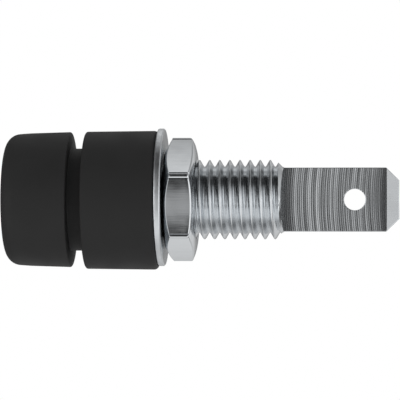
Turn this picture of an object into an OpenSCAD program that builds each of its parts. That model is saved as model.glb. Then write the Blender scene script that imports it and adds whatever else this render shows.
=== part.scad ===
// Insulated panel socket for 4 mm plugs: a turned stud with a blade, a moulded head and bush, a washer and a nut.
// Millimetres. X runs along the socket's axis from the plug's mouth to the blade, Z is up.
// The origin is on the axis, on the face of the head that seats against the panel.

/* [Head] */
// diameter of the head at its rear rim
head_d = 10.06; // [9.6:0.02:12]
// length of the head in front of the panel
head_l = 4.9; // [4.6:0.1:7]
// draft of the head's side in degrees
head_draft = 1.7; // [0.5:0.1:3]
// length of the steeper shoulder behind the front face
shoulder_l = 1.86; // [1.6:0.02:2.4]
// draft of the shoulder in degrees
shoulder_draft = 4.2; // [2:0.1:6]
// how far the front face leans back towards its edge, in degrees
front_lean = 2.4; // [0:0.1:4]
// radius of the head's front edge
head_front_r = 1.1; // [0.5:0.1:1.3]
// radius of the head's rear edge
head_rear_r = 0.12; // [0.05:0.01:0.2]
// thickness of plastic in front of the metal sleeve
lip_t = 0.8; // [0.8:0.1:1.2]
// diameter of the hole through the lip
mouth_d = 4.4; // [4.4:0.1:4.8]
// diameter of the lead-in at the front face
mouth_lead_d = 5.6; // [5:0.1:5.8]
// diameter of the spigot that passes through the panel
spigot_d = 7.6; // [7.4:0.1:8]

/* [Bush] */
// diameter of the bush at its rear rim
bush_d = 10.32; // [9.6:0.02:12]
// length of the bush
bush_l = 5.4; // [5:0.1:6]
// draft of the bush's side in degrees
bush_draft = 0.6; // [0:0.1:0.8]
// radius of the bush's front edge
bush_front_r = 0.16; // [0.05:0.01:0.3]
// radius of the bush's rear edge
bush_rear_r = 0.32; // [0.1:0.02:0.5]
// depth of the recess that takes the spigot
recess_l = 3.3; // [3:0.1:3.6]
// radial clearance between the spigot and the recess
recess_clear = 0.08; // [0.07:0.01:0.12]
// radial clearance between the thread and the bush
bush_clear = 0.1; // [0.07:0.01:0.2]
// how far the loose bush hangs below the axis
bush_drop = 0.05; // [0:0.01:0.05]

/* [Panel] */
// space between the head and the bush as drawn
panel_gap = 1.1; // [1.1:0.1:4]
// thinnest panel that can be clamped
least_panel = 1; // [0.6:0.1:1]
// end clearance between the spigot and the bottom of the recess at the thinnest panel
spigot_clear = 0.02; // [0.02:0.01:0.1]

/* [Washer] */
// outer diameter of the washer
washer_d = 10.22; // [9.4:0.02:12]
// thickness of the washer
washer_t = 0.48; // [0.4:0.02:0.8]
// radial play between the thread and the washer's hole
washer_play = 0.27; // [0.22:0.01:0.4]
// how far the washer sits off the axis
washer_lift = 0.17; // [0:0.01:0.17]
// radius of the washer's edges
washer_edge_r = 0.1; // [0.04:0.01:0.16]

/* [Nut] */
// play between the washer and the nut, which is only finger-tight as drawn
nut_play = 0.09; // [0:0.01:0.1]
// nut across flats
nut_af = 8; // [7.8:0.1:10]
// nut thickness
nut_t = 2.3; // [2:0.1:3]
// diameter of the flat ring left on the front of the nut, as a share of the width across flats
nut_ring = 0.92; // [0.9:0.01:0.96]
// angle of the chamfer on the front of the nut in degrees
nut_chamfer = 30; // [20:1:35]
// radius of the dome on the rear of the nut, which starts at the edge of its bore
nut_dome = 3; // [2.8:0.1:4]
// how far the nut is turned from a level flat, in degrees
nut_turn = 7; // [0:1:60]
// radial clearance between the thread and the nut
nut_clear = 0.05; // [0.04:0.01:0.09]
// depth of the countersink at each end of the nut
nut_sink = 0.1; // [0.1:0.05:0.3]

/* [Stud] */
// bore that takes the plug
bore_d = 4; // [3.9:0.05:4.1]
// depth of the bore, without the drill point
bore_l = 16.5; // [14:0.5:17]
// full angle of the drill point in degrees
drill_point = 118; // [100:2:140]
// depth of the chamfer at the mouth of the bore
bore_lead = 0.2; // [0.1:0.05:0.3]
// diameter of the collar held in the head
collar_d = 6.6; // [6.4:0.1:6.8]
// distance across the two flats of the collar
collar_flats = 6; // [5.9:0.1:6.2]
// distance from the panel face back to the collar
collar_back = 1; // [0.8:0.1:1.5]

/* [Thread] */
// outer diameter of the thread
thread_d = 5.9; // [5.9:0.05:6.1]
// pitch of the thread
thread_pitch = 0.75; // [0.7:0.05:1]
// depth of the thread
thread_depth = 0.52; // [0.48:0.01:0.52]
// width of the crest
crest_w = 0.08; // [0.05:0.01:0.09]
// distance from the panel face to the end of the thread
thread_end = 15.74; // [15.5:0.02:18]
// distance along the axis by which the crests are shifted
thread_shift = 0.4; // [0:0.01:0.75]

/* [Blade] */
// width of the blade, which is also the diameter it is milled from
blade_w = 4.8; // [4.7:0.02:4.82]
// thickness of the blade
blade_t = 0.8; // [0.5:0.05:1]
// length of the blade from the end of the thread
blade_l = 8.62; // [7:0.02:12]
// radius of the cutters that mill the blade's sides
cutter_r = 19; // [12:1:30]
// diameter of the hole in the blade
hole_d = 1.6; // [1.2:0.1:2]
// distance from the hole to the tip
hole_back = 3.3; // [2.6:0.1:4]
// length of the bevel at the tip
bevel_l = 0.92; // [0.5:0.02:1.2]
// thickness left at the tip
tip_t = 0.4; // [0.2:0.05:0.5]
// size of the chamfer on the tip's corners
corner_c = 0.97; // [0.5:0.01:1.2]

/* [Hidden] */
$fn = 64;

nickel = [0.72, 0.72, 0.71];
black = [0.03, 0.03, 0.03];

// distances along the axis
front = -head_l;
sleeve_front = front + lip_t;
spigot_l = least_panel + recess_l - spigot_clear;
bush_front = panel_gap;
bush_rear = bush_front + bush_l;
washer_rear = bush_rear + washer_t;
nut_front = washer_rear + nut_play;
nut_rear = nut_front + nut_t;
thread_start = spigot_l + 0.7;
tip = thread_end + blade_l;
bore_end = sleeve_front + bore_l;

// radii
crest_r = thread_d / 2;
root_r = crest_r - thread_depth;
neck_r = blade_w / 2;
thread_foot_r = neck_r + 0.01;
bush_front_rim = bush_d / 2 - bush_l * tan(bush_draft);
washer_hole = thread_d + 2 * washer_play;
recess_d = spigot_d + 2 * recess_clear;
bush_bore = thread_d + 2 * bush_clear;
nut_bore = thread_d + 2 * nut_clear;

// the thread's form: root flat, flank, crest, flank, over one pitch
flank_w = thread_depth * tan(30);
root_w = thread_pitch - crest_w - 2 * flank_w;
thread_steps = 32;
thread_turns = ceil((thread_end - thread_start) / thread_pitch) + 4;
thread_count = thread_turns * thread_steps;
thread_z0 = thread_start - 2.5 * thread_pitch + thread_shift;

// turns a shape made along Z so that it lies along X
module along_x() {
    rotate([0, 90, 0]) children();
}

// a turned plug from z0 to z1, tapering from radius r0 to r1, with rounded rims of radius e0 and e1
module barrel(z0, z1, r0, r1, e0, e1) {
    slope = atan2(r1 - r0, z1 - z0);
    c0 = [r0 + e0 * tan(slope) - e0 / cos(slope), z0 + e0];
    c1 = [r1 - e1 * tan(slope) - e1 / cos(slope), z1 - e1];
    side0 = c0 + e0 * [cos(slope), -sin(slope)];
    side1 = c1 + e1 * [cos(slope), -sin(slope)];
    rotate_extrude() {
        polygon([[0, z0], [c0[0], z0], c0, side0, side1, c1, [c1[0], z1], [0, z1]]);
        translate(c0) circle(e0);
        translate(c1) circle(e1);
    }
}

// the outside of the head: a leaning front face, a rounded edge, a shoulder and a drafted side
module head_form() {
    land_r = mouth_lead_d / 2 + 0.05;
    shoulder = [head_d / 2 + (front + shoulder_l) * tan(head_draft), front + shoulder_l];
    reach = shoulder[0] - (shoulder_l + land_r * tan(front_lean)) * tan(shoulder_draft);
    edge_r = reach / (1 - tan(front_lean) * tan(shoulder_draft));
    edge = [edge_r, front + (edge_r - land_r) * tan(front_lean)];
    inward = [-cos(front_lean), -sin(front_lean)];
    back = [sin(shoulder_draft), cos(shoulder_draft)];
    angle = 90 + front_lean + shoulder_draft;
    front_end = edge + inward * head_front_r / tan(angle / 2);
    side_start = edge + back * head_front_r / tan(angle / 2);
    round_centre = edge + (inward + back) * head_front_r / sin(angle);
    rear_centre = [head_d / 2 - head_rear_r * (tan(head_draft) + 1 / cos(head_draft)), -head_rear_r];
    rear_side = rear_centre + head_rear_r * [cos(head_draft), -sin(head_draft)];
    rotate_extrude() {
        polygon([
            [0, front], [land_r, front], front_end, round_centre, side_start, shoulder,
            rear_side, rear_centre, [rear_centre[0], 0], [0, 0]
        ]);
        translate(round_centre) circle(head_front_r);
        translate(rear_centre) circle(head_rear_r);
    }
}

// a plain round hole or rod from z0 to z1
module rod(d, z0, z1) {
    translate([0, 0, z0]) cylinder(h = z1 - z0, d = d);
}

// the part of the stud that the head is moulded onto: a collar with two flats
module collar() {
    intersection() {
        rod(collar_d, sleeve_front, -collar_back);
        translate([-collar_d, -collar_flats / 2, sleeve_front - 1])
            cube([2 * collar_d, collar_flats, collar_d + head_l]);
    }
}

// one point of the thread: step i round the helix, point j of the form
function thread_z(i, j) =
    thread_z0 + thread_pitch * i / thread_steps + [0, root_w, root_w + flank_w, root_w + flank_w + crest_w][j];
function thread_r(j) = j < 2 ? root_r : crest_r;
function thread_point(i, j) =
    [thread_r(j) * cos(360 * i / thread_steps), thread_r(j) * sin(360 * i / thread_steps), thread_z(i, j)];
function id(i, j) = 4 * i + j;

// a screw of full form, longer at both ends than the finished thread
module screw_form() {
    last = thread_count;
    foot = 4 * (last + 1);
    points = concat(
        [for (i = [0:last]) for (j = [0:3]) thread_point(i, j)],
        [[0, 0, thread_z0 + thread_pitch / 2], [0, 0, thread_z(last, 3) - thread_pitch / 2]]
    );
    strips = [for (i = [0:last - 1]) for (j = [0:2])
        each [[id(i, j), id(i, j + 1), id(i + 1, j)], [id(i + 1, j), id(i, j + 1), id(i + 1, j + 1)]]];
    backs = [for (i = [0:last - thread_steps - 1])
        each [[id(i, 3), id(i + thread_steps, 0), id(i + 1, 3)],
              [id(i + 1, 3), id(i + thread_steps, 0), id(i + thread_steps + 1, 0)]]];
    base = [for (i = [0:thread_steps - 1]) [foot, id(i, 0), id(i + 1, 0)]];
    top = [for (i = [last - thread_steps:last - 1]) [foot + 1, id(i + 1, 3), id(i, 3)]];
    base_side = [[foot, id(thread_steps, 0), id(0, 3), id(0, 2), id(0, 1), id(0, 0)]];
    top_side = [[foot + 1, id(last - thread_steps, 3), id(last, 0), id(last, 1), id(last, 2), id(last, 3)]];
    polyhedron(points = points, faces = concat(strips, backs, base, top, base_side, top_side), convexity = 10);
}

// the turned length that the thread is cut on, with a chamfer at each end
module thread_blank() {
    out = crest_r + 0.2;
    low = thread_foot_r;
    rotate_extrude()
        polygon([
            [0, thread_start], [low, thread_start], [out, thread_start + out - low],
            [out, thread_end - out + low], [low, thread_end], [0, thread_end]
        ]);
}

// one side of the blade: the path of a disc cutter fed in from the tip
module cutter_path() {
    far = blade_l + cutter_r + 2;
    translate([0, blade_t / 2, thread_end - 0.08 + cutter_r]) rotate([-90, 0, 0]) cylinder(h = 4, r = cutter_r);
    translate([-cutter_r, blade_t / 2, thread_end - 0.08 + cutter_r]) cube([2 * cutter_r, 4, far]);
}

// one side of the bevel at the tip
module bevel_cut() {
    slope = atan2((blade_t - tip_t) / 2, bevel_l);
    translate([-blade_w, blade_t / 2, tip - bevel_l]) rotate([slope, 0, 0]) cube([2 * blade_w, 3, 3 * bevel_l]);
}

// the blade, milled from a turned rod with a chamfered end
module blade() {
    difference() {
        rotate_extrude()
            polygon([
                [0, thread_end - 2], [neck_r, thread_end - 2], [neck_r, tip - corner_c],
                [neck_r - corner_c, tip], [0, tip]
            ]);
        cutter_path();
        mirror([0, 1, 0]) cutter_path();
        bevel_cut();
        mirror([0, 1, 0]) bevel_cut();
        translate([0, -blade_t, tip - hole_back]) rotate([-90, 0, 0]) cylinder(h = 2 * blade_t, d = hole_d);
    }
}

module contact_stud() {
    color(nickel) along_x() difference() {
        union() {
            collar();
            rod(thread_d, -collar_back, spigot_l + 0.2);
            rod(2 * neck_r, spigot_l, thread_start + 1);
            intersection() {
                screw_form();
                thread_blank();
            }
            blade();
        }
        rod(bore_d, sleeve_front - 1, bore_end);
        translate([0, 0, sleeve_front]) cylinder(h = bore_lead, d1 = bore_d + 2 * bore_lead, d2 = bore_d);
        translate([0, 0, bore_end]) cylinder(h = bore_d / 2 / tan(drill_point / 2), d1 = bore_d, d2 = 0);
    }
}

module insulating_head() {
    color(black) along_x() difference() {
        union() {
            head_form();
            rod(spigot_d, -1, spigot_l);
        }
        collar();
        rod(thread_d, -collar_back, spigot_l + 1);
        rod(mouth_d, front - 1, sleeve_front);
        translate([0, 0, front]) cylinder(h = (mouth_lead_d - mouth_d) / 2, d1 = mouth_lead_d, d2 = mouth_d);
    }
}

module insulating_bush() {
    color(black) translate([0, 0, -bush_drop]) along_x() difference() {
        barrel(bush_front, bush_rear, bush_front_rim, bush_d / 2, bush_front_r, bush_rear_r);
        rod(recess_d, bush_front - 1, bush_front + recess_l);
        rod(bush_bore, bush_front, bush_rear + 1);
    }
}

module flat_washer() {
    color(nickel) translate([0, 0, washer_lift]) along_x() difference() {
        barrel(bush_rear, washer_rear, washer_d / 2, washer_d / 2, washer_edge_r, washer_edge_r);
        rod(washer_hole, bush_rear - 1, washer_rear + 1);
    }
}

module hex_nut() {
    corner_r = nut_af / 2 / cos(30) + 0.1;
    ring_r = nut_ring * nut_af / 2;
    drop = (corner_r - ring_r) * tan(nut_chamfer);
    sink_d = nut_bore + 2 * nut_sink;
    color(nickel) rotate([nut_turn, 0, 0]) along_x() difference() {
        intersection() {
            translate([0, 0, nut_front]) cylinder(h = nut_t, d = nut_af / cos(30), $fn = 6);
            rotate_extrude()
                polygon([
                    [0, nut_front], [ring_r, nut_front], [corner_r, nut_front + drop], [corner_r, nut_rear], [0, nut_rear]
                ]);
            rotate_extrude() {
                translate([nut_bore / 2, nut_rear - nut_dome]) intersection() {
                    circle(nut_dome);
                    translate([0, -nut_dome]) square([nut_dome, 2 * nut_dome]);
                }
                translate([0, nut_front - 1]) square([nut_bore / 2, nut_t + 1]);
            }
        }
        rod(nut_bore, nut_front - 1, nut_rear + 1);
        translate([0, 0, nut_front]) cylinder(h = nut_sink, d1 = sink_d, d2 = nut_bore);
        translate([0, 0, nut_rear - nut_sink]) cylinder(h = nut_sink, d1 = nut_bore, d2 = sink_d);
    }
}

contact_stud();
insulating_head();
insulating_bush();
flat_washer();
hex_nut();
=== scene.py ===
# %% [markdown]
# # A panel socket for 4 mm plugs
# The imported CAD model is the fixed frame of this scene: its five nodes say where every piece goes and how large it is.
# Each node is then re-modelled here with the fine things that a solid model leaves out: a smooth thread, rounded
# rims, a nut with crowned sides, milling marks with painted shade and highlights, and the grain of moulded plastic.

# %% Load the frame
import math

import bpy
import bmesh
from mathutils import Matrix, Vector


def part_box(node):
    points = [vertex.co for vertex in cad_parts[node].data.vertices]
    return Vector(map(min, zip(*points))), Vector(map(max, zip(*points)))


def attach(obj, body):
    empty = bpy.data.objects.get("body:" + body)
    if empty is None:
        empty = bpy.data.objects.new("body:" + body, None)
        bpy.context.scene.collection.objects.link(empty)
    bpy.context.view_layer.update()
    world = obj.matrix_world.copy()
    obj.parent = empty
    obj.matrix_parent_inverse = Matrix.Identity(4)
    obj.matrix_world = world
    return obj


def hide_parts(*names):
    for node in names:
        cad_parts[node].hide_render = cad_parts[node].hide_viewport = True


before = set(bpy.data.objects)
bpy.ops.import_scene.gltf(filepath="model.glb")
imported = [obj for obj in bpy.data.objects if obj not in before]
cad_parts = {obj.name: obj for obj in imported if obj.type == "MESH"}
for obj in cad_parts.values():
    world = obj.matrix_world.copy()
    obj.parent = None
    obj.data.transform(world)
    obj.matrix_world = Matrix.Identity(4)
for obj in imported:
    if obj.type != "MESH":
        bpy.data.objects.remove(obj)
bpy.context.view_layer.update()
MM = 0.001
print("nodes:", sorted(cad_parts))

# %% [markdown]
# ## Sizes
# All sizes are in millimetres, as on a workshop drawing. X runs along the socket, and zero is the face of the head
# that seats against the panel. Ends that the CAD model fixes are read from the frame, so they can't drift from it.

# %% Read the ends of each piece from the frame
def ends(node):
    """The lowest and highest X of a CAD node, in millimetres."""
    low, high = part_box(node)
    return low.x / MM, high.x / MM


STUD_FRONT, TIP = ends("contact_stud")
HEAD_FRONT, SPIGOT_END = ends("insulating_head")
BUSH_FRONT, BUSH_REAR = ends("insulating_bush")
WASHER_FRONT, WASHER_REAR = ends("flat_washer")
NUT_FRONT, NUT_REAR = ends("hex_nut")
print("length over all:", round(TIP - HEAD_FRONT, 2), "mm")

# %% [markdown]
# ## Camera
# The photograph was taken with a long lens, level with the axis and a little from the blade's side, so that each
# round edge shows as a slim arc. A lens of about 300 mm at a quarter of a metre gives the same flat perspective.

# %% Place the camera
YAW = math.radians(4.13)
# from the lens to the point it aims at, and the width of the picture there: 400 pixels, 13.462 to the millimetre
REACH, FIELD = 245.6, 400 / 13.462
AIM = Vector((9.573, 0.0, -0.03))
SENSOR = 36.0

camera_data = bpy.data.cameras.new("photo_camera")
camera_data.sensor_width = SENSOR
camera_data.lens = SENSOR * REACH / FIELD
camera_data.clip_start = 10 * MM
camera = bpy.data.objects.new("photo_camera", camera_data)
camera.location = (AIM + REACH * Vector((math.sin(YAW), -math.cos(YAW), 0.0))) * MM
camera.rotation_euler = (math.pi / 2, 0.0, YAW)
bpy.context.scene.collection.objects.link(camera)
bpy.context.scene.camera = camera
print("lens:", round(camera_data.lens), "mm")

# %% [markdown]
# ## One helper for node trees
# Shaders and Geometry Nodes are built from the same kind of call: add a node, set its options, and connect or fill
# its inputs. One small function does that for every node in the file.

# %% Helper: add a node
def add(tree, kind, inputs=(), **settings):
    """Add a node, set its settings, and fill its inputs: a list in socket order, or a dict by name or number.
    A value may be a plain one, a socket, or a node, which stands for its first output."""
    node = tree.nodes.new(kind)
    for key, value in settings.items():
        setattr(node, key, value)
    for key, value in inputs.items() if isinstance(inputs, dict) else enumerate(inputs):
        if isinstance(value, bpy.types.Node):
            value = value.outputs[0]
        if isinstance(value, bpy.types.NodeSocket):
            tree.links.new(value, node.inputs[key])
        else:
            node.inputs[key].default_value = value
    return node


def srgb(code):
    """A colour written as sRGB hex, as the linear RGBA that a socket wants."""
    parts = [int(code[i:i + 2], 16) / 255 for i in (1, 3, 5)]
    return [c / 12.92 if c <= 0.04045 else ((c + 0.055) / 1.055) ** 2.4 for c in parts] + [1.0]


MATH = "ShaderNodeMath"
print("mid grey is", round(srgb("#808080")[0], 3))

# %% [markdown]
# ## Round shapes
# Nearly everything here was turned on a lathe or moulded in a round cavity, so most pieces are rings of points round
# the X axis, joined into a skin. A ring may follow a function of the angle, which is how the nut gets its six sides.

# %% Helpers: rings and skins
AROUND = 192
# in metres: points that are nearer than this become one, and shorter edges than this are dropped
WELD, SPECK = 2e-7, 1e-8


def skin(bm, section, count, closed=False, off=(0.0, 0.0)):
    """Join rings into a skin. Each entry of section is (x, r), or a function of the angle that gives (x, r)."""
    rings = []
    for entry in section:
        ring = []
        for k in range(count):
            t = 2 * math.pi * k / count
            x, r = entry(t) if callable(entry) else entry
            ring.append((x * MM, (r * math.sin(t) + off[0]) * MM, (-r * math.cos(t) + off[1]) * MM))
        pole = not callable(entry) and entry[1] == 0
        rings.append([bm.verts.new(p) for p in (ring[:1] if pole else ring)])
    pairs = list(zip(rings, rings[1:])) + ([(rings[-1], rings[0])] if closed else [])
    for a, b in pairs:
        for k in range(count):
            n = (k + 1) % count
            if len(a) == 1:
                bm.faces.new((a[0], b[n], b[k]))
            elif len(b) == 1:
                bm.faces.new((a[k], a[n], b[0]))
            else:
                bm.faces.new((a[k], a[n], b[n], b[k]))


def finish_mesh(bm, name, sharp=32):
    """Weld, turn the faces outwards, smooth all edges but those of more than sharp degrees, and make the object."""
    bmesh.ops.remove_doubles(bm, verts=bm.verts, dist=WELD)
    bmesh.ops.dissolve_degenerate(bm, edges=bm.edges, dist=SPECK)
    bmesh.ops.recalc_face_normals(bm, faces=bm.faces)
    mesh = bpy.data.meshes.new(name)
    bm.to_mesh(mesh)
    bm.free()
    mesh.shade_smooth()
    mesh.set_sharp_from_angle(angle=math.radians(sharp))
    piece = bpy.data.objects.new(name, mesh)
    bpy.context.scene.collection.objects.link(piece)
    print(name, len(mesh.polygons), "faces")
    return piece


# %% [markdown]
# Every real edge is a little round. A section is written as its corners, each with a radius, and this helper puts in
# the arcs. A Bevel modifier could do it too, but here nearly every edge has a radius of its own.

# %% Helpers: sections with round corners
def rounded(corners, steps=8):
    """A section's outline with its corners rounded: each corner is (x, r, radius), and 0 leaves it sharp."""
    points = []
    for k, (x, r, radius) in enumerate(corners):
        here = Vector((x, r))
        if radius == 0:
            points.append((x, r))
            continue
        back = (Vector(corners[k - 1][:2]) - here).normalized()
        on = (Vector(corners[(k + 1) % len(corners)][:2]) - here).normalized()
        half = back.angle(on) / 2
        start, stop = here + back * radius / math.tan(half), here + on * radius / math.tan(half)
        centre = here + (back + on).normalized() * radius / math.sin(half)
        first, last = (start - centre).normalized(), (stop - centre).normalized()
        for i in range(steps + 1):
            points.append(tuple(centre + first.slerp(last, i / steps) * radius))
    return points


def tangent(degrees):
    return math.tan(math.radians(degrees))


# %% [markdown]
# ## The insulating head
# A black moulding with a softly rounded front. Its sides lean inwards a little so that it leaves the mould, and the
# spigot behind it passes through the panel. Cylinders and Booleans could give the same form, but a section that is
# drawn once and spun round the axis gives clean rings and takes in every rounding.

# %% Head
HEAD_R, HEAD_DRAFT = 5.03, 1.7
SHOULDER_L, SHOULDER_DRAFT, FRONT_LEAN = 1.86, 4.2, 2.4
FRONT_ROUND, SHOULDER_ROUND, REAR_ROUND = 1.1, 12.0, 0.12
SPIGOT_R, SPIGOT_FOOT_ROUND, SPIGOT_END_ROUND = 3.8, 0.08, 0.1
COLLAR_R, COLLAR_FLATS, COLLAR_REAR = 3.3, 6.0, -1.0
STUD_R = 2.95
LIP_REAR, LEAD_REAR = HEAD_FRONT + 0.8, HEAD_FRONT + 0.6
MOUTH_R, MOUTH_ROUND = 2.2, 0.15
LEAD_R, LEAD_ROUND, LAND = 2.8, 0.04, 0.05


def collar(x):
    """A ring of the stud's collar, which has two flats so that it can't turn in the head."""
    return lambda t: (x, COLLAR_FLATS / 2 / max(abs(math.sin(t)), COLLAR_FLATS / 2 / COLLAR_R))


# the front leans back and the shoulder leans in, and they meet at the edge that is then rounded
shoulder_x = HEAD_FRONT + SHOULDER_L
shoulder_r = HEAD_R + shoulder_x * tangent(HEAD_DRAFT)
land_r = LEAD_R + LAND
edge_r = shoulder_r - (SHOULDER_L + land_r * tangent(FRONT_LEAN)) * tangent(SHOULDER_DRAFT)
edge_r /= 1 - tangent(FRONT_LEAN) * tangent(SHOULDER_DRAFT)
edge_x = HEAD_FRONT + (edge_r - land_r) * tangent(FRONT_LEAN)
head_section = rounded([
    (HEAD_FRONT, land_r, 0), (edge_x, edge_r, FRONT_ROUND), (shoulder_x, shoulder_r, SHOULDER_ROUND),
    (0.0, HEAD_R, REAR_ROUND), (0.0, SPIGOT_R, SPIGOT_FOOT_ROUND), (SPIGOT_END, SPIGOT_R, SPIGOT_END_ROUND),
    (SPIGOT_END, STUD_R, 0), (COLLAR_REAR, STUD_R, 0), (COLLAR_REAR, COLLAR_R, 0), (LIP_REAR, COLLAR_R, 0),
    (LIP_REAR, MOUTH_R, 0), (LEAD_REAR, MOUTH_R, MOUTH_ROUND), (HEAD_FRONT, LEAD_R, LEAD_ROUND)], steps=10)

bm = bmesh.new()
skin(bm, [collar(x) if r == COLLAR_R else (x, r) for x, r in head_section], AROUND, closed=True)
head = finish_mesh(bm, "head_moulding")

# %% [markdown]
# ## The insulating bush
# The second moulding clamps the panel from behind. It is hollow at the front so that it can slide over the spigot,
# and its rear rim has the larger rounding that shows below the washer. It is spun like the head, and as a loose piece
# it lies a little low on the stud.

# %% Bush
BUSH_R, BUSH_DRAFT, BUSH_DROP = 5.16, 0.6, 0.05
BUSH_FRONT_ROUND, BUSH_REAR_ROUND, BUSH_MOUTH_ROUND = 0.16, 0.32, 0.1
RECESS_R, RECESS_END, BUSH_BORE_R = 3.88, BUSH_FRONT + 3.3, 3.05

bush_front_r = BUSH_R - (BUSH_REAR - BUSH_FRONT) * tangent(BUSH_DRAFT)
bush_section = rounded([
    (BUSH_FRONT, bush_front_r, BUSH_FRONT_ROUND), (BUSH_REAR, BUSH_R, BUSH_REAR_ROUND),
    (BUSH_REAR, BUSH_BORE_R, BUSH_MOUTH_ROUND), (RECESS_END, BUSH_BORE_R, 0), (RECESS_END, RECESS_R, 0),
    (BUSH_FRONT, RECESS_R, BUSH_MOUTH_ROUND)])

bm = bmesh.new()
skin(bm, bush_section, AROUND, closed=True, off=(0.0, -BUSH_DROP))
bush = finish_mesh(bm, "bush_moulding")

# %% [markdown]
# ## The washer
# A plain stamped ring. The punch draws the edge in on one side and leaves it sharper on the other, so the two rims
# are rounded by different amounts. It has play on the thread and sits a little high. Its rim and its faces were made
# in different ways, so each face of the mesh gets a number that later picks its finish.

# %% Washer
WASHER_R, WASHER_HOLE_R, WASHER_LIFT = 5.11, 3.22, 0.17
SHARPER_ROUND, DRAWN_ROUND, WASHER_HOLE_ROUND = 0.1, 0.13, 0.06
# a face counts as flat when this much of its normal lies along one axis
FLAT = 0.95

washer_section = rounded([
    (WASHER_FRONT, WASHER_R, SHARPER_ROUND), (WASHER_REAR, WASHER_R, DRAWN_ROUND),
    (WASHER_REAR, WASHER_HOLE_R, WASHER_HOLE_ROUND), (WASHER_FRONT, WASHER_HOLE_R, WASHER_HOLE_ROUND)])

bm = bmesh.new()
skin(bm, washer_section, AROUND, closed=True, off=(0.0, WASHER_LIFT))
washer = finish_mesh(bm, "stamped_washer")
for face in washer.data.polygons:
    # 0 is the sheared rim, 1 the rolled faces
    face.material_index = 1 if abs(face.normal.x) > FLAT else 0

# %% [markdown]
# ## The screw thread, by Geometry Nodes
# A thread is a shape that follows a rule: a zigzag section that climbs by one pitch in each turn. The tree below
# starts from a flat grid. One side of the grid runs along the axis and the other once round it, and each point is
# moved to its place on the helix. The same tree makes the stud's outer thread and the nut's inner one.

# %% Build the thread tree
FLANK = 60
# in millimetres: points that are nearer than this are one
SEAM = 1e-4


def thread_tree():
    tree = bpy.data.node_groups.new("screw_thread", "GeometryNodeTree")
    panel = tree.interface
    panel.new_socket("Geometry", in_out="OUTPUT", socket_type="NodeSocketGeometry")
    for name in ("Start", "End", "Origin", "Pitch", "Root Radius", "Crest Radius", "Crest Width", "Crest Soften",
                 "Root Soften", "End Radius", "Side", "Turns"):
        panel.new_socket(name, in_out="INPUT", socket_type="NodeSocketFloat")
    for name in ("Rows", "Segments"):
        panel.new_socket(name, in_out="INPUT", socket_type="NodeSocketInt")
    panel.new_socket("Material", in_out="INPUT", socket_type="NodeSocketMaterial")
    size = add(tree, "NodeGroupInput").outputs
    start, end, pitch, side = (size[name] for name in ("Start", "End", "Pitch", "Side"))

    # the grid: its length is so many turns of the thread, and its width is once round
    length = add(tree, MATH, [pitch, size["Turns"]], operation="MULTIPLY")
    grid = add(tree, "GeometryNodeMeshGrid", [length, 1.0, size["Rows"], size["Segments"]])
    point = add(tree, "ShaderNodeSeparateXYZ", [add(tree, "GeometryNodeInputPosition")]).outputs
    along = add(tree, MATH, [length, 0.5, point[0]], operation="MULTIPLY_ADD")
    turn = add(tree, MATH, [point[1], 0.5], operation="ADD")

    # each point climbs one pitch in a turn, and stops at the ends of the thread
    from_origin = add(tree, MATH, [along, size["Origin"]], operation="ADD")
    climb = add(tree, MATH, [turn, pitch, from_origin], operation="MULTIPLY_ADD")
    x = add(tree, "ShaderNodeClamp", [climb, start, end])

    # the zigzag: from a crest, the flank falls at 60 degrees to the root; crest and root are softened
    half_pitch = add(tree, MATH, [pitch, 0.5], operation="MULTIPLY")
    shifted = add(tree, MATH, [along, half_pitch], operation="SUBTRACT")
    off_crest = add(tree, MATH, [shifted, half_pitch], operation="PINGPONG")
    past_edge = add(tree, MATH, [size["Crest Width"], -0.5, off_crest], operation="MULTIPLY_ADD")
    fall = add(tree, MATH, [past_edge, -tangent(FLANK), size["Crest Radius"]], operation="MULTIPLY_ADD")
    outer = add(tree, MATH, [fall, size["Crest Radius"], size["Crest Soften"]], operation="SMOOTH_MIN")
    form = add(tree, MATH, [outer, size["Root Radius"], size["Root Soften"]], operation="SMOOTH_MAX")

    # a 45 degree chamfer at both ends: it closes on a screw, where Side is 1, and opens in a nut, where Side is -1
    past_start = add(tree, MATH, [x, start], operation="SUBTRACT")
    to_end = add(tree, MATH, [end, x], operation="SUBTRACT")
    room = add(tree, MATH, [past_start, to_end], operation="MINIMUM")
    limit = add(tree, MATH, [side, size["End Radius"], room], operation="MULTIPLY_ADD")
    sided = add(tree, MATH, [side, form], operation="MULTIPLY")
    kept = add(tree, MATH, [sided, limit], operation="MINIMUM")

    # wind it round the axis, from the lowest point
    down = add(tree, MATH, [side, -1.0], operation="MULTIPLY")
    below = add(tree, "ShaderNodeCombineXYZ", [x, 0.0, add(tree, MATH, [kept, down], operation="MULTIPLY")])
    angle = add(tree, MATH, [turn, 2 * math.pi], operation="MULTIPLY")
    spot = add(tree, "ShaderNodeVectorRotate", {"Vector": below, "Angle": angle}, rotation_type="X_AXIS")
    wound = add(tree, "GeometryNodeSetPosition", {"Geometry": grid, "Position": spot})
    welded = add(tree, "GeometryNodeMergeByDistance", {"Geometry": wound, "Distance": SEAM})
    metres = add(tree, "GeometryNodeTransform", {"Geometry": welded, "Scale": (MM, MM, MM)})
    real = add(tree, "GeometryNodeRealizeInstances", {"Geometry": metres})
    coated = add(tree, "GeometryNodeSetMaterial", {"Geometry": real, "Material": size["Material"]})
    add(tree, "NodeGroupOutput", [coated])
    return tree


screw_thread = thread_tree()
print("thread tree:", len(screw_thread.nodes), "nodes")


# %% [markdown]
# The tree is run on an empty mesh through a modifier, its result is copied to a plain mesh, and the carrier is thrown
# away. A modifier's inputs are set by each socket's identifier, because names may repeat. Each turn gets a whole number
# of rows, so that the two sides of the grid meet point on point and the seam closes.

# %% Helper: run the thread tree
ROWS_PER_TURN = 28


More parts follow.
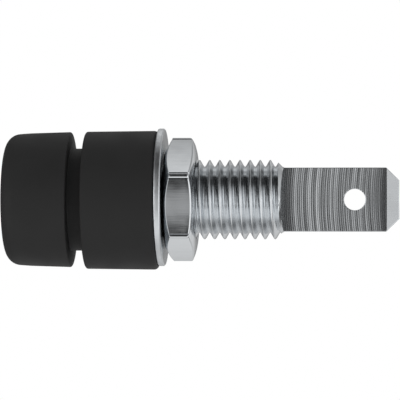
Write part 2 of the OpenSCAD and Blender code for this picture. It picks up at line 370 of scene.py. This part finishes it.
def thread_mesh(**sizes):
    turns = math.ceil((sizes["end"] - sizes["origin"]) / sizes["pitch"]) + 1
    sizes.update(turns=float(turns), rows=turns * ROWS_PER_TURN + 1)
    carrier = bpy.data.objects.new("thread_carrier", bpy.data.meshes.new("thread_carrier"))
    bpy.context.scene.collection.objects.link(carrier)
    modifier = carrier.modifiers.new("thread", "NODES")
    modifier.node_group = screw_thread
    for item in screw_thread.interface.items_tree:
        key = item.name.replace(" ", "_").lower()
        if item.in_out == "INPUT" and key in sizes:
            modifier[item.identifier] = sizes[key]
    seen = carrier.evaluated_get(bpy.context.evaluated_depsgraph_get())
    mesh = bpy.data.meshes.new_from_object(seen)
    bpy.data.objects.remove(carrier)
    print("thread:", turns, "turns,", len(mesh.polygons), "faces")
    return mesh


# %% [markdown]
# ## The contact stud
# One turned piece: the socket sleeve with its bore, the thread, and a blade that is milled from the end. The thread
# mesh is welded to a turned front part and closed behind with a disc, which is hollowed to the arc of the cutter that
# milled the blade.

# %% Stud: sleeve and thread
PITCH, ROOT_R, CREST_W = 0.75, 2.43, 0.08
CREST_SOFT, ROOT_SOFT = 0.1, 0.19
NECK_START, THREAD_START, THREAD_END = SPIGOT_END + 0.2, SPIGOT_END + 0.7, 15.74
END_R, NECK_R = 2.41, 2.4
# the grid begins a few turns ahead of the thread, and the shift gives the crests their places along the stud
LEAD_TURNS, CREST_SHIFT = 2.5, 0.45
ORIGIN = THREAD_START - LEAD_TURNS * PITCH + CREST_SHIFT
# the bore has a chamfer at its mouth and ends in the cone of a drill, given by half its angle
BORE_R, BORE_END, BORE_CHAMFER, DRILL = 2.0, STUD_FRONT + 16.5, 0.2, 59
CUTTER_R, CUT_IN = 19.0, 0.08
CUTTER_X = THREAD_END - CUT_IN + CUTTER_R
DISC_RINGS = (END_R, NECK_R, 1.9, 1.4, 0.9, 0.4, 0.0)
SEGMENTS = 128

outer_thread = thread_mesh(start=THREAD_START, end=THREAD_END, pitch=PITCH, root_radius=ROOT_R, crest_radius=STUD_R,
                           end_radius=END_R, side=1.0, crest_width=CREST_W, crest_soften=CREST_SOFT,
                           root_soften=ROOT_SOFT, origin=ORIGIN, segments=SEGMENTS + 1)
bm = bmesh.new()
bm.from_mesh(outer_thread)
sleeve = [(THREAD_START, END_R), (THREAD_START, NECK_R), (NECK_START, NECK_R), (NECK_START, STUD_R),
          (COLLAR_REAR, STUD_R), collar(COLLAR_REAR), collar(STUD_FRONT), (STUD_FRONT, BORE_R + BORE_CHAMFER),
          (STUD_FRONT + BORE_CHAMFER, BORE_R), (BORE_END, BORE_R), (BORE_END + BORE_R / tangent(DRILL), 0.0)]
skin(bm, sleeve, SEGMENTS)
skin(bm, [(THREAD_END, r) for r in DISC_RINGS], SEGMENTS)
for v in bm.verts:
    arc = CUTTER_X * MM - math.sqrt((CUTTER_R * MM) ** 2 - v.co.z ** 2)
    if v.co.x > min(arc, (THREAD_END - SEAM) * MM):
        v.co.x = arc
stud = finish_mesh(bm, "contact_stud_turned", sharp=40)

# %% [markdown]
# The blade is a flat plate with rounded edges. A filled 2-D curve with a small bevel draws it in one go, hole and all:
# the outline is laid in the plane, the extrusion gives the thickness and the bevel breaks the edges. The tip is then
# pinched so that both sides slope, and the narrow sides keep the round of the turned end that the blade was milled
# from.

# %% Stud: blade
BLADE_W, BLADE_T, TIP_T = 4.8, 0.8, 0.4
BEVEL_L, CORNER = 0.92, 0.97
HOLE_R, HOLE_X, HOLE_STEPS = 0.8, TIP - 3.3, 64
EDGE, EDGE_STEPS = 0.045, 2
# the plate reaches into the stud, so that the two can be joined
BLADE_ROOT = THREAD_END - 0.6
CUT_NEAR = 1e-5


def blade_plate():
    curve = bpy.data.curves.new("blade_outline", "CURVE")
    curve.dimensions = "2D"
    curve.fill_mode = "BOTH"
    half = BLADE_W / 2
    outline = [(BLADE_ROOT, -half), (TIP - CORNER, -half), (TIP, -half + CORNER), (TIP, half - CORNER),
               (TIP - CORNER, half), (BLADE_ROOT, half)]
    angles = [2 * math.pi * k / HOLE_STEPS for k in range(HOLE_STEPS)]
    hole = [(HOLE_X + HOLE_R * math.cos(t), HOLE_R * math.sin(t)) for t in angles]
    for points in (outline, hole):
        spline = curve.splines.new("POLY")
        spline.points.add(len(points) - 1)
        for point, (x, z) in zip(spline.points, points):
            point.co = (x, z, 0.0, 1.0)
        spline.use_cyclic_u = True
    curve.extrude = BLADE_T / 2 - EDGE
    curve.bevel_depth = EDGE
    curve.bevel_resolution = EDGE_STEPS
    curve.offset = -EDGE
    drawn = bpy.data.objects.new("blade_outline", curve)
    bpy.context.scene.collection.objects.link(drawn)
    mesh = bpy.data.meshes.new_from_object(drawn.evaluated_get(bpy.context.evaluated_depsgraph_get()))
    bpy.data.objects.remove(drawn)
    return mesh


bm = bmesh.new()
bm.from_mesh(blade_plate())
bmesh.ops.remove_doubles(bm, verts=bm.verts, dist=SEAM)
bmesh.ops.bisect_plane(bm, geom=bm.verts[:] + bm.edges[:] + bm.faces[:], plane_co=(TIP - BEVEL_L, 0, 0),
                       plane_no=(1, 0, 0), dist=CUT_NEAR)
for v in bm.verts:
    x, z, y = v.co
    share = max(0.0, (x - TIP + BEVEL_L) / BEVEL_L)
    y *= 1 - share * (1 - TIP_T / BLADE_T)
    v.co = Vector((x, y, z * math.sqrt(1 - (y / BLADE_W * 2) ** 2))) * MM
blade = finish_mesh(bm, "blade_plate", sharp=30)

# %% [markdown]
# A Boolean makes one closed skin of stud and blade. The milled flats and the ground tip are then found by where they
# lie and which way they face, and are numbered for their finish. Their edges are kept sharp, so that the shading of the
# broken edges doesn't run out over the flats.

# %% Stud: join the blade
JOINED_SHARP = 35

union = stud.modifiers.new("blade", "BOOLEAN")
union.operation = "UNION"
union.solver = "EXACT"
union.object = blade
joined = bpy.data.meshes.new_from_object(stud.evaluated_get(bpy.context.evaluated_depsgraph_get()))
stud.modifiers.clear()
stud.data = joined
bpy.data.objects.remove(blade)
joined.shade_smooth()
joined.set_sharp_from_angle(angle=math.radians(JOINED_SHARP))
bm = bmesh.new()
bm.from_mesh(joined)
for face in bm.faces:
    x = face.calc_center_median().x / MM
    flat = abs(face.normal.y) > FLAT and x > THREAD_END
    # 0 is turned, 1 the milled flats, 2 the ground tip
    face.material_index = (2 if x > TIP - BEVEL_L else 1) if flat else 0
    if flat:
        for edge in face.edges:
            edge.smooth = False
bm.to_mesh(joined)
bm.free()
print("stud:", len(joined.polygons), "faces")

# %% [markdown]
# ## The nut
# Drawn hexagon bar has slightly crowned sides and soft corners. The front end is chamfered in a cone, which leaves a
# curved line on each flat, and the rear end is softly domed. A hexagonal prism with a Bevel modifier would have
# neither, so the section is worked out anew at every angle: the rounded hexagon gives the radius there, and cone and
# dome give how far the side reaches.

# %% Nut: the section at one angle
NUT_AF, NUT_TURN, HALF_SIDE = 8.0, math.radians(7), math.pi / 6
# the flats stand out a little, so that the rounded corners reach about as far as sharp ones would
CORNER_ROUND, CROWN, PROUD = 0.2, 0.05, 0.07
RING_R, RING_ROUND = 3.68, 0.08
CHAMFER, CHAMFER_ROUND = 30, 0.05
DOME_R, DOME_FOOT, DOME_ROUND, DOME_RINGS = 3.6, 3.0, 0.15, 5
SINK_R = 3.0
# the even part of a side ends this far from the chamfer and from the dome, and the dome's this far inside its edge
FRONT_BAND, REAR_BAND, DOME_BAND = 0.12, 0.35, 0.4
GATHER = 0.8


def gathered(u):
    """Angle of a point: even steps, drawn together at the six corners, where the shape turns most."""
    return u - GATHER / 6 * math.sin(6 * (u - NUT_TURN))


def hexagon(t):
    """Radius of the crowned hexagon with round corners at angle t."""
    a = (t - NUT_TURN) % (2 * HALF_SIDE) - HALF_SIDE
    half = NUT_AF / 2 + PROUD
    side = (half - CROWN * (math.tan(a) / math.tan(HALF_SIDE)) ** 2) / math.cos(a)
    far = (half - CROWN - CORNER_ROUND) / math.cos(HALF_SIDE)
    b = HALF_SIDE - abs(a)
    inside = CORNER_ROUND ** 2 - (far * math.sin(b)) ** 2
    return min(side, far * math.cos(b) + math.sqrt(inside)) if inside > 0 else side


def dome(r):
    """Where the domed rear end lies at radius r."""
    return NUT_REAR - DOME_R + math.sqrt(DOME_R ** 2 - (r - DOME_FOOT) ** 2)


def nut_outline(u):
    """The nut's section at one angle, from the front countersink over the side to the rear one."""
    r = hexagon(gathered(u))
    edge = NUT_FRONT + (r - RING_R) * tangent(CHAMFER)
    corners = [(NUT_FRONT, SINK_R, 0), (NUT_FRONT, RING_R, RING_ROUND), (edge, r, CHAMFER_ROUND),
               (edge + FRONT_BAND, r, 0), (dome(r) - REAR_BAND, r, 0), (dome(r), r, DOME_ROUND)]
    for k in range(DOME_RINGS, -1, -1):
        q = SINK_R + (r - DOME_BAND - SINK_R) * k / DOME_RINGS
        corners.append((dome(q), q, 0))
    return rounded(corners, steps=6)


print("nut over its corners:", round(2 * hexagon(NUT_TURN), 2), "mm")

# %% [markdown]
# The outlines are joined into a skin, and the inner thread closes it from countersink to countersink. Six rounded
# corners need more points than the flats between them, so all points are drawn together there, those of the thread too.

# %% Nut: skin and inner thread
NUT_STEPS = 240
# the nut's thread is wider than the stud's all round, which is its play
ROOT_PLAY, CREST_PLAY, WIDTH_PLAY = 0.12, 0.03, 0.05
NUT_CREST_SOFT, NUT_ROOT_SOFT, END_FADE = 0.08, 0.1, 0.1
# a face is part of an end when this much of its normal lies along the axis
END_LEAN = 0.1

outlines = {2 * math.pi * k / NUT_STEPS: nut_outline(2 * math.pi * k / NUT_STEPS) for k in range(NUT_STEPS)}
nut_section = [lambda u, k=k: outlines[u][k] for k in range(len(outlines[0.0]))]
inner_thread = thread_mesh(start=NUT_FRONT, end=NUT_REAR, pitch=PITCH, root_radius=ROOT_R + ROOT_PLAY,
                           crest_radius=STUD_R + CREST_PLAY, end_radius=SINK_R, side=-1.0,
                           crest_width=CREST_W + WIDTH_PLAY, crest_soften=NUT_CREST_SOFT,
                           root_soften=NUT_ROOT_SOFT, origin=ORIGIN, segments=NUT_STEPS + 1)
bm = bmesh.new()
bm.from_mesh(inner_thread)
threaded = set(bm.verts)
skin(bm, nut_section, NUT_STEPS)
for v in bm.verts:
    r, u = math.hypot(v.co.y, v.co.z), math.atan2(v.co.y, -v.co.z)
    t = gathered(u)
    v.co.y, v.co.z = r * math.sin(t), -r * math.cos(t)
    if v in threaded:
        # the thread climbs with the angle, so its points follow; the ends stay flat
        room = min(v.co.x - NUT_FRONT * MM, NUT_REAR * MM - v.co.x)
        v.co.x += PITCH * MM * (t - u) / (2 * math.pi) * min(1.0, room / (END_FADE * MM))
nut = finish_mesh(bm, "hexagon_nut", sharp=30)
for face in nut.data.polygons:
    # 0 is the drawn sides, 1 the turned ends
    face.material_index = 1 if abs(face.normal.x) > END_LEAN else 0

# %% [markdown]
# ## Black moulded plastic
# Head and bush are polyamide, a tough insulator. A mould with a fine spark-eroded grain leaves a satin skin: no mirror
# image, only an even charcoal with a soft sheen. A flat colour would look like paint, so one noise makes the grain in
# the bump, and a broader one lets tone and gloss wander a little, as where the melt cooled against the steel.

# %% Plastic
# real grain is about 0.03 mm wide, and is drawn at 0.12 mm so that it shows
GRAIN_W, GRAIN_DEPTH, FLOW_W = 0.12, 0.004, 2.5
SATIN = 0.58, 0.7
# a noise hardly leaves this range
NOISE_RANGE = 0.3, 0.7


def new_material(name):
    """An empty node material and its tree."""
    material = bpy.data.materials.new(name)
    material.use_nodes = True
    material.node_tree.nodes.clear()
    return material, material.node_tree


# moulded polyamide: even charcoal, satin, with a fine grain
plastic, tree = new_material("black_polyamide_moulded")
spot = add(tree, "ShaderNodeTexCoord").outputs["Object"]
grain = add(tree, "ShaderNodeTexNoise", {"Vector": spot, "Scale": 1 / (GRAIN_W * MM), "Detail": 2.0})
flow = add(tree, "ShaderNodeTexNoise", {"Vector": spot, "Scale": 1 / (FLOW_W * MM), "Detail": 1.0})
tone = add(tree, "ShaderNodeMix", {0: flow, 6: srgb("#242424"), 7: srgb("#292929")}, data_type="RGBA").outputs[2]
gloss = add(tree, "ShaderNodeMapRange", [flow, *NOISE_RANGE, *SATIN])
relief = add(tree, "ShaderNodeBump", {"Height": grain, "Distance": GRAIN_DEPTH * MM})
shader = add(tree, "ShaderNodeBsdfPrincipled", {"Base Color": tone, "Roughness": gloss, "IOR": 1.5,
                                               "Specular IOR Level": 0.25, "Normal": relief})
add(tree, "ShaderNodeOutputMaterial", [shader])
print("plastic:", len(tree.nodes), "nodes")

# %% [markdown]
# ## Nickel plate
# All the metal is bright nickel over brass or steel. The plate is thin and copies the surface under it, so what the eye
# reads is how that surface was made. One function lays marks of a given length in x, y and z into the bump: long round
# the axis for turning, long along it for drawn bar. A second, broad swell bends the reflections, as on real flats.

# %% Nickel, by the marks below it
GLOSS_WANDER = 0.15


def nickel_plate(name, roughness, marks, depth, swell, swell_depth):
    """Nickel over marks of (x, y, z) millimetres and a swell, each with its depth in millimetres."""
    material, tree = new_material(name)
    spot = add(tree, "ShaderNodeTexCoord").outputs["Object"]
    laid = add(tree, "ShaderNodeMapping", {"Vector": spot, "Scale": [1 / (size * MM) for size in marks]})
    lines = add(tree, "ShaderNodeTexNoise", {"Vector": laid, "Scale": 1.0, "Detail": 3.0})
    broad = add(tree, "ShaderNodeTexNoise", {"Vector": spot, "Scale": 1 / (swell * MM), "Detail": 1.0})
    bent = add(tree, "ShaderNodeBump", {"Height": broad, "Distance": swell_depth * MM})
    relief = add(tree, "ShaderNodeBump", {"Height": lines, "Distance": depth * MM, "Normal": bent})
    tone = add(tree, "ShaderNodeMix", {0: lines, 6: srgb("#d2d5d8"), 7: srgb("#dcdfe1")}, data_type="RGBA").outputs[2]
    gloss = add(tree, "ShaderNodeMapRange", [broad, *NOISE_RANGE, roughness * (1 - GLOSS_WANDER),
                                             roughness * (1 + GLOSS_WANDER)])
    shader = add(tree, "ShaderNodeBsdfPrincipled", {"Base Color": tone, "Metallic": 1.0, "Roughness": gloss,
                                                   "Normal": relief})
    add(tree, "ShaderNodeOutputMaterial", [shader])
    return material


# turned: fine rings round the axis, crisp reflections; the real marks are finer than a pixel and are drawn coarser
turned = nickel_plate("nickel_on_turned_brass", roughness=0.17, marks=(0.09, 4.0, 4.0), depth=0.0004,
                      swell=0.8, swell_depth=0.001)
# drawn bar: faint lines along the axis on slightly cloudy flats
drawn = nickel_plate("nickel_on_drawn_brass", roughness=0.11, marks=(3.0, 0.12, 0.12), depth=0.001,
                     swell=1.3, swell_depth=0.012)
# sheared rim of a stamping: short steps across the edge, dull and speckled
sheared = nickel_plate("nickel_on_sheared_steel", roughness=0.4, marks=(0.5, 0.12, 0.12), depth=0.008,
                       swell=0.3, swell_depth=0.01)
# rolled sheet: smooth and grey, with a broad swell
rolled = nickel_plate("nickel_on_rolled_steel", roughness=0.18, marks=(0.15, 0.15, 2.0), depth=0.0006,
                      swell=1.0, swell_depth=0.004)
# ground tip: an even, pale satin
ground = nickel_plate("nickel_on_ground_brass", roughness=0.25, marks=(1.5, 1.5, 0.1), depth=0.001,
                      swell=1.5, swell_depth=0.002)
print("nickel materials:", [coat.name for coat in (turned, drawn, sheared, rolled, ground)])

# %% [markdown]
# ## The milled blade
# A large cutter ran along the flats, and each tooth left the same arc one step further on. So the pattern reads how far
# a point lies behind the arc at the root of the blade. An even beat of teeth alone would look printed, and noise alone
# like brushed sheet. Both are mixed: the beat gives the fine spacing, and a noise that is short across the arcs and
# long along them makes the cuts uneven.
# The same pattern also paints the colour, as painted shade in the grooves and a painted highlight on the crests.

# %% Milled nickel
# the real teeth step on by less than a pixel, so their marks are drawn coarser
ARC_STEP, ARC_RUN, TOOTH_STEP = 0.09, 14.0, 0.145
BEAT_SHARE, BEAT_WANDER, WANDER_SCALE = 0.6, 4.0, 0.12
# the cut is shallow where the cutter runs in at the root and runs out at the tip: from where, to where, how shallow
RUN_IN, RUN_OUT = (0.0, 1.0, 0.15), (7.6, 6.6, 0.4)
MILL_DEPTH = 0.025

# milled brass: arcs cut across the blade, with painted shade in each groove and a painted highlight on each crest
milled, tree = new_material("nickel_on_milled_brass")
spot = add(tree, "ShaderNodeTexCoord").outputs["Object"]
from_cutter = add(tree, "ShaderNodeMapping", {"Vector": spot, "Location": (-CUTTER_X, 0.0, 0.0),
                                             "Scale": (1 / MM, 0.0, 1 / MM)})
past, _, rise = add(tree, "ShaderNodeSeparateXYZ", [from_cutter]).outputs
# the arc at the root is a circle of the cutter's radius, and feed is the distance from it along the blade
fallen = add(tree, MATH, [rise, -1.0], operation="MULTIPLY")
square = add(tree, MATH, [rise, fallen, CUTTER_R ** 2], operation="MULTIPLY_ADD")
feed = add(tree, MATH, [past, add(tree, MATH, [square], operation="SQRT")], operation="ADD")
across = add(tree, MATH, [feed, 1 / ARC_STEP], operation="MULTIPLY")
along = add(tree, MATH, [rise, 1 / ARC_RUN], operation="MULTIPLY")
laid = add(tree, "ShaderNodeCombineXYZ", [across, along])
streaks = add(tree, "ShaderNodeTexNoise", {"Vector": laid, "Scale": 1.0, "Detail": 3.0})
# the beat of the teeth wanders a little, and is brought to the range of a noise
wander = add(tree, "ShaderNodeTexNoise", {"Vector": laid, "Scale": WANDER_SCALE, "Detail": 1.0})
shift = add(tree, MATH, [wander, BEAT_WANDER], operation="MULTIPLY")
beat = add(tree, MATH, [feed, 2 * math.pi / TOOTH_STEP, shift], operation="MULTIPLY_ADD")
teeth = add(tree, "ShaderNodeMapRange", [add(tree, MATH, [beat], operation="SINE"), -1.0, 1.0, *NOISE_RANGE])
arcs = add(tree, "ShaderNodeMix", {0: BEAT_SHARE, 2: streaks, 3: teeth}).outputs[0]
run_in, run_out = (add(tree, "ShaderNodeMapRange", [feed, *run, 1.0]) for run in (RUN_IN, RUN_OUT))
bite = add(tree, MATH, [run_in, run_out], operation="MULTIPLY")
relief = add(tree, "ShaderNodeBump", {"Strength": bite, "Height": arcs, "Distance": MILL_DEPTH * MM})
# painted shade and highlight: the colour is darker in the arcs' grooves and lighter on their crests, over the bump
tone = add(tree, "ShaderNodeMix", {0: arcs, 6: srgb("#b4b7ba"), 7: srgb("#eceff1")}, data_type="RGBA").outputs[2]
shader = add(tree, "ShaderNodeBsdfPrincipled", {"Base Color": tone, "Metallic": 1.0, "Roughness": 0.15,
                                               "Normal": relief})
add(tree, "ShaderNodeOutputMaterial", [shader])
print("milled:", len(tree.nodes), "nodes")

# %% [markdown]
# Each mesh already marks its faces by the way they were made, so the coats only have to be listed in that order.

# %% Put the coats on
for piece, *coats in ((head, plastic), (bush, plastic), (washer, sheared, rolled), (nut, drawn, turned),
                      (stud, turned, milled, ground)):
    kinds = [face.material_index for face in piece.data.polygons]
    piece.data.materials.clear()
    for coat in coats:
        piece.data.materials.append(coat)
    piece.data.polygons.foreach_set("material_index", kinds)
    print(piece.name, [coat.name for coat in coats])

# %% [markdown]
# ## Floor
# The stage is a plain pale sheet of paper, far enough below that the socket's soft shadow falls on it without touching
# the picture. Polished metal would mirror its edge, so mirror rays don't see it. For the camera alone it glows a
# little, so that it meets the white background without a hard line and still keeps the shadow.

# %% Floor
FLOOR_Z, FLOOR_HALF, FLOOR_GLOW = -45.0, 450.0, 0.24
CORNERS = (-1, -1), (1, -1), (1, 1), (-1, 1)

floor_mesh = bpy.data.meshes.new("floor")
floor_mesh.from_pydata([(x * FLOOR_HALF * MM, y * FLOOR_HALF * MM, FLOOR_Z * MM) for x, y in CORNERS],
                       [], [(0, 1, 2, 3)])
floor = bpy.data.objects.new("floor", floor_mesh)
bpy.context.scene.collection.objects.link(floor)
floor.visible_glossy = False
# matt white paper
paper, tree = new_material("white_paper")
from_camera = add(tree, "ShaderNodeLightPath").outputs["Is Camera Ray"]
shader = add(tree, "ShaderNodeBsdfPrincipled", {
    "Base Color": srgb("#f2f2f2"), "Roughness": 0.9, "Emission Color": srgb("#ffffff"),
    "Emission Strength": add(tree, MATH, [from_camera, FLOOR_GLOW], operation="MULTIPLY")})
add(tree, "ShaderNodeOutputMaterial", [shader])
floor_mesh.materials.append(paper)
print("floor at", FLOOR_Z, "mm")

# %% [markdown]
# ## Light
# Polished metal has no look of its own: it shows the room. In the photograph the thread is black above its middle and
# white below, so the room must be dark at the height of the lens and above it, and bright to the left and below. Lamps
# could be placed for that, but their edges would be hard to steer. Here the world is drawn as four fields from left to
# right, each with a level for every height round the axis: 0 degrees is the height of the lens, 90 straight above, 180
# behind the socket and -90 straight below.

# %% Studio: the fields
# each field: where it takes over from the last one, as a share of the way to the right, and its levels by height
STUDIO = [
    # left: a tall soft box, from well below the lens to a little above it
    (None,
     [(-180, 0.2), (-105, 0.2), (-84, 0.6), (-66, 1.1), (-19, 1.4), (-10, 1.6), (6, 1.5), (24, 1.1), (36, 0.75),
      (44, 0.5), (58, 0.05), (92, 0.05), (102, 0.3), (112, 0.1), (180, 0.2)]),
    # middle: the dark room behind the camera with a slit of light under the lens, and white below, overhead and behind
    ((-0.45, -0.12),
     [(-180, 0.25), (-155, 0.6), (-140, 0.68), (-130, 0.82), (-100, 0.7), (-82, 0.6), (-62, 1.0), (-45, 0.9),
      (-34, 0.75), (-26, 0.05), (-18.5, 0.02), (-16.5, 0.3), (-14.5, 0.52), (-12, 0.35), (-9.5, 0.0), (-4, 0.06),
      (18, 0.06), (28, 0.01), (90, 0.01), (93, 0.3), (97, 0.4), (99, 0.85), (102, 0.85), (111, 0.48), (118, 0.55),
      (128, 1.0), (150, 0.5), (180, 0.25)]),
    # right: a soft box below the height of the lens
    ((0.12, 0.4),
     [(-180, 0.75), (-152, 0.7), (-128, 0.5), (-105, 0.3), (-84, 0.35), (-66, 1.2), (-30, 1.4), (-12, 1.2), (-4, 0.8),
      (6, 0.8), (15, 0.35), (26, 0.05), (34, 0.01), (93, 0.01), (100, 0.4), (112, 0.3), (150, 0.45), (180, 0.75)]),
    # far right, past the tip: a tall soft box, up to overhead and on behind
    ((0.55, 0.85),
     [(-180, 1.5), (-150, 0.6), (-128, 0.1), (-105, 0.1), (-84, 0.2), (-66, 1.0), (-29, 1.2), (6, 1.5), (26, 1.2),
      (42, 0.9), (66, 0.7), (88, 0.6), (112, 0.6), (140, 0.5), (160, 1.0), (180, 1.5)]),
]
print("studio:", len(STUDIO), "fields")

# %% [markdown]
# A colour ramp holds each field's levels, and the fields are blended from left to right. Only mirror rays see them.
# Matt plastic and the floor get one even light, and the camera sees plain white.

# %% Studio: the world
EVEN_LIGHT = 0.8

world = bpy.data.worlds.new("studio")
bpy.context.scene.world = world
world.use_nodes = True
tree = world.node_tree
tree.nodes.clear()
ray = add(tree, "ShaderNodeTexCoord").outputs["Generated"]
x, y, z = add(tree, "ShaderNodeSeparateXYZ", [ray]).outputs
nearer = add(tree, MATH, [y, -1.0], operation="MULTIPLY")
height = add(tree, MATH, [z, nearer], operation="ARCTAN2")
share = add(tree, "ShaderNodeMapRange", [height, -math.pi, math.pi, 0.0, 1.0])
level = None
for edge, bands in STUDIO:
    ramp = add(tree, "ShaderNodeValToRGB", [share])
    while len(ramp.color_ramp.elements) < len(bands):
        ramp.color_ramp.elements.new(0.5)
    for element, (angle, strength) in zip(ramp.color_ramp.elements, bands):
        element.position = (angle + 180) / 360
        element.color = (strength, strength, strength, 1.0)
    if edge:
        past = add(tree, "ShaderNodeMapRange", [x, *edge, 0.0, 1.0])
        level = add(tree, "ShaderNodeMix", {"Factor": past, "A": level, "B": ramp})
    else:
        level = ramp
path = add(tree, "ShaderNodeLightPath").outputs
plain = add(tree, MATH, [path["Is Camera Ray"], path["Is Transmission Ray"]], operation="MAXIMUM")
soft = add(tree, "ShaderNodeMix", {"Factor": path["Is Glossy Ray"], "A": EVEN_LIGHT, "B": level})
seen = add(tree, "ShaderNodeMix", {"Factor": plain, "A": soft, "B": 1.0})
glow = add(tree, "ShaderNodeBackground", {"Color": srgb("#ffffff"), "Strength": seen})
add(tree, "ShaderNodeOutputWorld", [glow])

bpy.context.scene.view_settings.view_transform = "Standard"
print("world:", len(tree.nodes), "nodes")

# %% [markdown]
# ## Join the pieces to the frame
# Each mesh stands for one CAD node and rides on that node's body, so the joints of the physics model move the right
# pieces.

# %% Ride on the bodies
for piece, node, body, slot in ((stud, "contact_stud", "socket", "nickel_plated_brass"),
                                (head, "insulating_head", "socket", "black_plastic"),
                                (bush, "insulating_bush", "clamp", "black_plastic"),
                                (washer, "flat_washer", "clamp", "nickel_plated_steel"),
                                (nut, "hex_nut", "nut", "nickel_plated_brass")):
    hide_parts(node)
    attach(piece, body)
    print(piece.name, "stands for", node, "and rides on", body)
